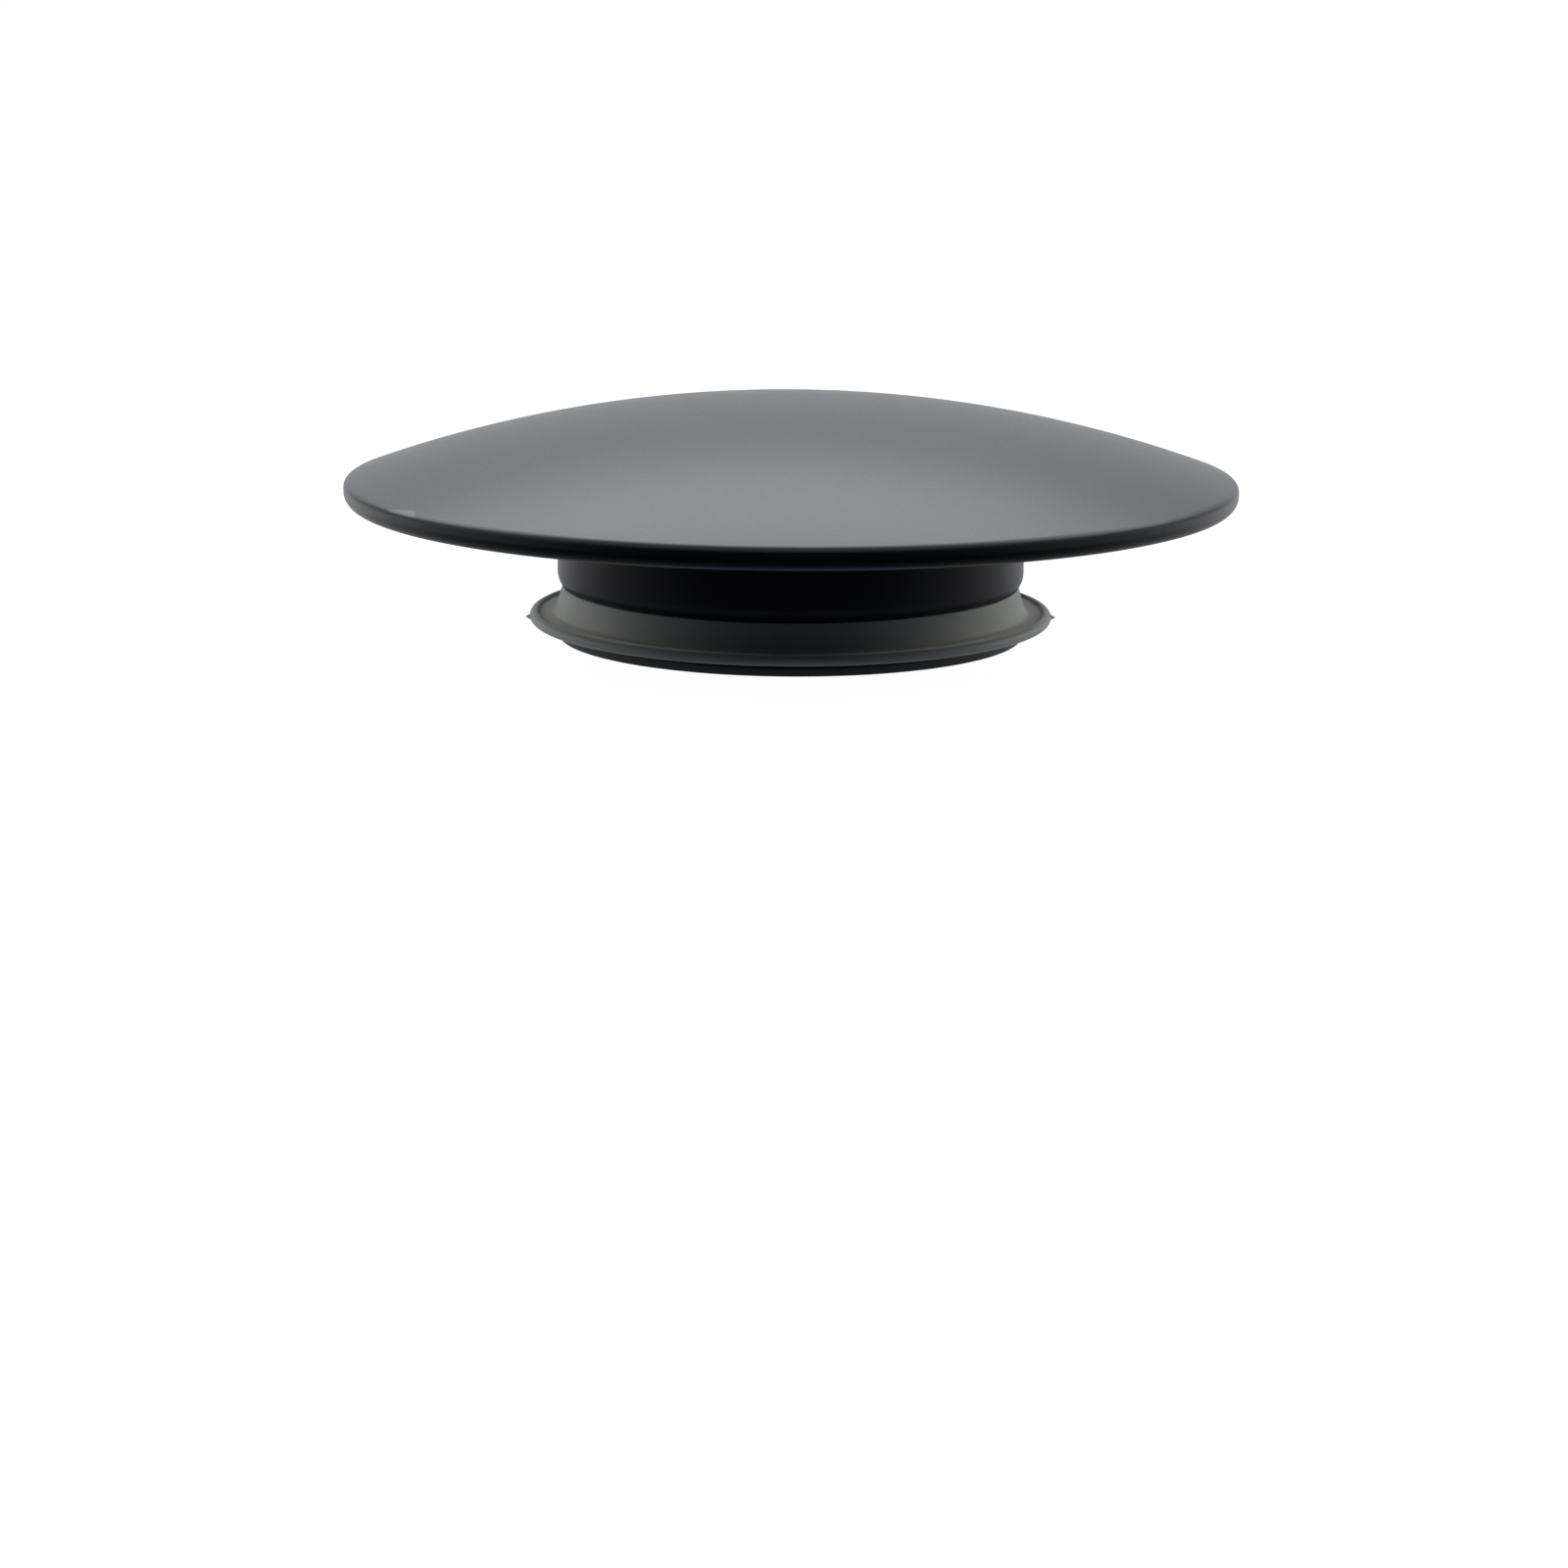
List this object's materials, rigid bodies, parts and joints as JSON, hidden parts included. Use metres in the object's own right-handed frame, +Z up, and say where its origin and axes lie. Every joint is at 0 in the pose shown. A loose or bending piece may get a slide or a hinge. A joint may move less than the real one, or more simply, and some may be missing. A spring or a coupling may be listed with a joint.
{
  "type": "pop-up drain cover",
  "caption": "Domed round basin drain cover on a collar with a rubber lip seal, lifted and latched by a push-push spring core that screws on the waste's stud.",
  "frame": {"origin": "centre of the base plane, which is the underside of the core's foot and of the seal's retaining ring", "axes": "+Z up along the axis of the cap and of its slide; +X and +Y square to it, with the first rib on +Y"},
  "size_m": [0.066, 0.066, 0.0175],
  "materials": {
    "cap_paint": "satin",
    "body_plastic": "fine textured",
    "seal_rubber": "matte moulded",
    "retainer_plastic": "matte",
    "gasket": "matte",
    "dark_acetal": "satin",
    "pale_acetal": "satin",
    "ptfe": "waxy",
    "stainless": "satin",
    "brass": "turned"
  },
  "bodies": {
    "core": {"core_foot": "dark_acetal", "threaded_insert": "brass", "cam_barrel": "dark_acetal", "barrel_top_ring": "dark_acetal", "tie_screw_1": "stainless", "tie_screw_2": "stainless", "tie_screw_3": "stainless", "main_spring": "stainless"},
    "cover": {"dome_cap": "cap_paint", "cap_stud": "stainless", "cap_lock_washer": "stainless", "cap_nut": "stainless", "cap_gasket": "gasket", "plug_body": "body_plastic", "lip_seal": "seal_rubber", "seal_retainer": "retainer_plastic", "plunger": "pale_acetal", "spring_seat": "stainless", "thrust_washer": "ptfe", "rotor_clip": "stainless"},
    "rotor": {"cam_rotor": "pale_acetal", "rotor_pin_1": "stainless", "rotor_pin_2": "stainless", "rotor_pin_3": "stainless"}
  },
  "joints": [
    {"name": "cap_slide", "type": "slide", "parent": "core", "child": "cover", "axis": [0, 0, 1], "range_m": [-0.0006, 0.006], "deforming": ["main_spring"]},
    {"name": "rotor_turn", "type": "hinge", "parent": "cover", "child": "rotor", "pos_m": [0, 0, 0.0037], "axis": [0, 0, 1], "range_deg": [-6, 60]}
  ],
  "couplings": [
    {"joint": "rotor_turn", "follows": "cap_slide", "rad_per_m": 174.53}
  ]
}
